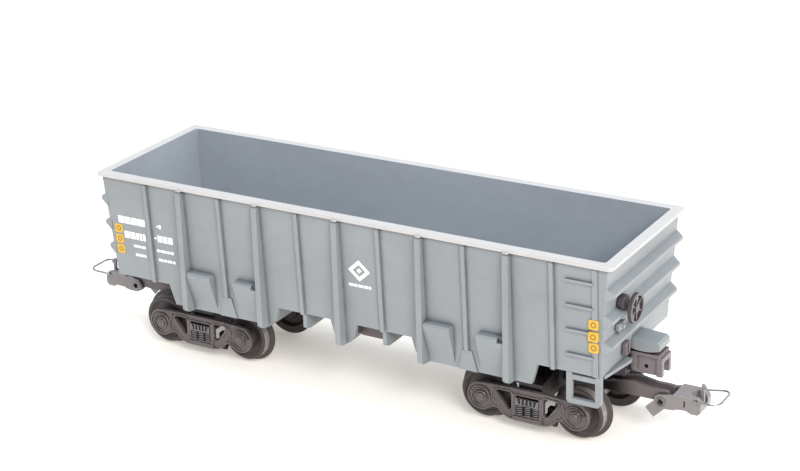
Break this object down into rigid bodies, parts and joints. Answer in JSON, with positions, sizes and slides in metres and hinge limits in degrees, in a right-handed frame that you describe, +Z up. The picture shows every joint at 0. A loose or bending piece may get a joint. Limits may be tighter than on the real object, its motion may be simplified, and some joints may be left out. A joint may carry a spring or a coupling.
{
  "type": "model railway hopper car",
  "caption": "Open-top ribbed hopper car for 16.5 mm gauge, with swivelling four-wheel trucks, rolling wheelsets, loop couplers and a brake wheel.",
  "frame": {"origin": "middle of the car at the level of the wheel flanges' feet", "axes": "+X along the car towards the brake wheel end, +Y across it, +Z up"},
  "size_m": [0.1506, 0.0364, 0.041],
  "materials": {
    "body_plastic": "satin moulded, rim painted near white",
    "frame_plastic": "dark satin moulded",
    "wheel_plastic": "dark satin moulded, treads polished by running",
    "brake_wheel_plastic": "dark satin moulded",
    "axle_steel": "turned",
    "ballast_steel": "cut bar",
    "screw_steel": "turned",
    "coupler_metal": "pressed, dull",
    "rivet_metal": "blackened",
    "bail_wire": "drawn wire"
  },
  "bodies": {
    "car_body": {"body_shell": "body_plastic", "underframe": "frame_plastic", "ballast_bar": "ballast_steel", "body_screws": "screw_steel", "kingpins": "screw_steel", "draft_gear_a": "frame_plastic", "draft_gear_b": "frame_plastic", "stirrup_step_a": "body_plastic", "stirrup_step_b": "body_plastic", "air_reservoir": "frame_plastic", "brake_platform": "body_plastic", "brake_housing": "frame_plastic", "brake_lever": "body_plastic", "chain_bracket": "frame_plastic"},
    "brake_wheel": {"brake_wheel": "brake_wheel_plastic"},
    "truck_a": {"bolster_a": "frame_plastic", "side_frame_a_near": "frame_plastic", "side_frame_a_far": "frame_plastic", "springs_a_near": "frame_plastic", "springs_a_far": "frame_plastic", "brake_beams_a": "frame_plastic"},
    "wheelset_1": {"axle_1": "axle_steel", "wheel_1_near": "wheel_plastic", "wheel_1_far": "wheel_plastic"},
    "wheelset_2": {"axle_2": "axle_steel", "wheel_2_near": "wheel_plastic", "wheel_2_far": "wheel_plastic"},
    "coupler_a": {"coupler_head_a": "coupler_metal", "eyelets_a": "rivet_metal"},
    "bail_a": {"bail_a": "bail_wire"},
    "truck_b": {"bolster_b": "frame_plastic", "side_frame_b_near": "frame_plastic", "side_frame_b_far": "frame_plastic", "springs_b_near": "frame_plastic", "springs_b_far": "frame_plastic", "brake_beams_b": "frame_plastic"},
    "wheelset_3": {"axle_3": "axle_steel", "wheel_3_near": "wheel_plastic", "wheel_3_far": "wheel_plastic"},
    "wheelset_4": {"axle_4": "axle_steel", "wheel_4_near": "wheel_plastic", "wheel_4_far": "wheel_plastic"},
    "coupler_b": {"coupler_head_b": "coupler_metal", "eyelets_b": "rivet_metal"},
    "bail_b": {"bail_b": "bail_wire"}
  },
  "joints": [
    {"name": "brake_wheel_spin", "type": "hinge", "parent": "car_body", "child": "brake_wheel", "pos_m": [0.0601, -0.0088, 0.0301], "axis": [1, 0, 0], "continuous": true},
    {"name": "truck_a_swivel", "type": "hinge", "parent": "car_body", "child": "truck_a", "pos_m": [0.039, 0, 0.0125], "axis": [0, 0, 1], "range_deg": [-15, 15]},
    {"name": "wheelset_1_roll", "type": "hinge", "parent": "truck_a", "child": "wheelset_1", "pos_m": [0.0492, 0, 0.0061], "axis": [0, 1, 0], "continuous": true},
    {"name": "wheelset_2_roll", "type": "hinge", "parent": "truck_a", "child": "wheelset_2", "pos_m": [0.0288, 0, 0.0061], "axis": [0, 1, 0], "continuous": true},
    {"name": "coupler_a_nod", "type": "hinge", "parent": "truck_a", "child": "coupler_a", "pos_m": [0.063, 0, 0.0086], "axis": [0, 1, 0], "range_deg": [-6, 6]},
    {"name": "bail_a_lift", "type": "hinge", "parent": "coupler_a", "child": "bail_a", "pos_m": [0.0701, 0, 0.0102], "axis": [0, -1, 0], "range_deg": [-5, 60]},
    {"name": "truck_b_swivel", "type": "hinge", "parent": "car_body", "child": "truck_b", "pos_m": [-0.039, 0, 0.0125], "axis": [0, 0, 1], "range_deg": [-15, 15]},
    {"name": "wheelset_3_roll", "type": "hinge", "parent": "truck_b", "child": "wheelset_3", "pos_m": [-0.0288, 0, 0.0061], "axis": [0, 1, 0], "continuous": true},
    {"name": "wheelset_4_roll", "type": "hinge", "parent": "truck_b", "child": "wheelset_4", "pos_m": [-0.0492, 0, 0.0061], "axis": [0, 1, 0], "continuous": true},
    {"name": "coupler_b_nod", "type": "hinge", "parent": "truck_b", "child": "coupler_b", "pos_m": [-0.063, 0, 0.0086], "axis": [0, -1, 0], "range_deg": [-6, 6]},
    {"name": "bail_b_lift", "type": "hinge", "parent": "coupler_b", "child": "bail_b", "pos_m": [-0.0701, 0, 0.0102], "axis": [0, 1, 0], "range_deg": [-5, 60]}
  ]
}
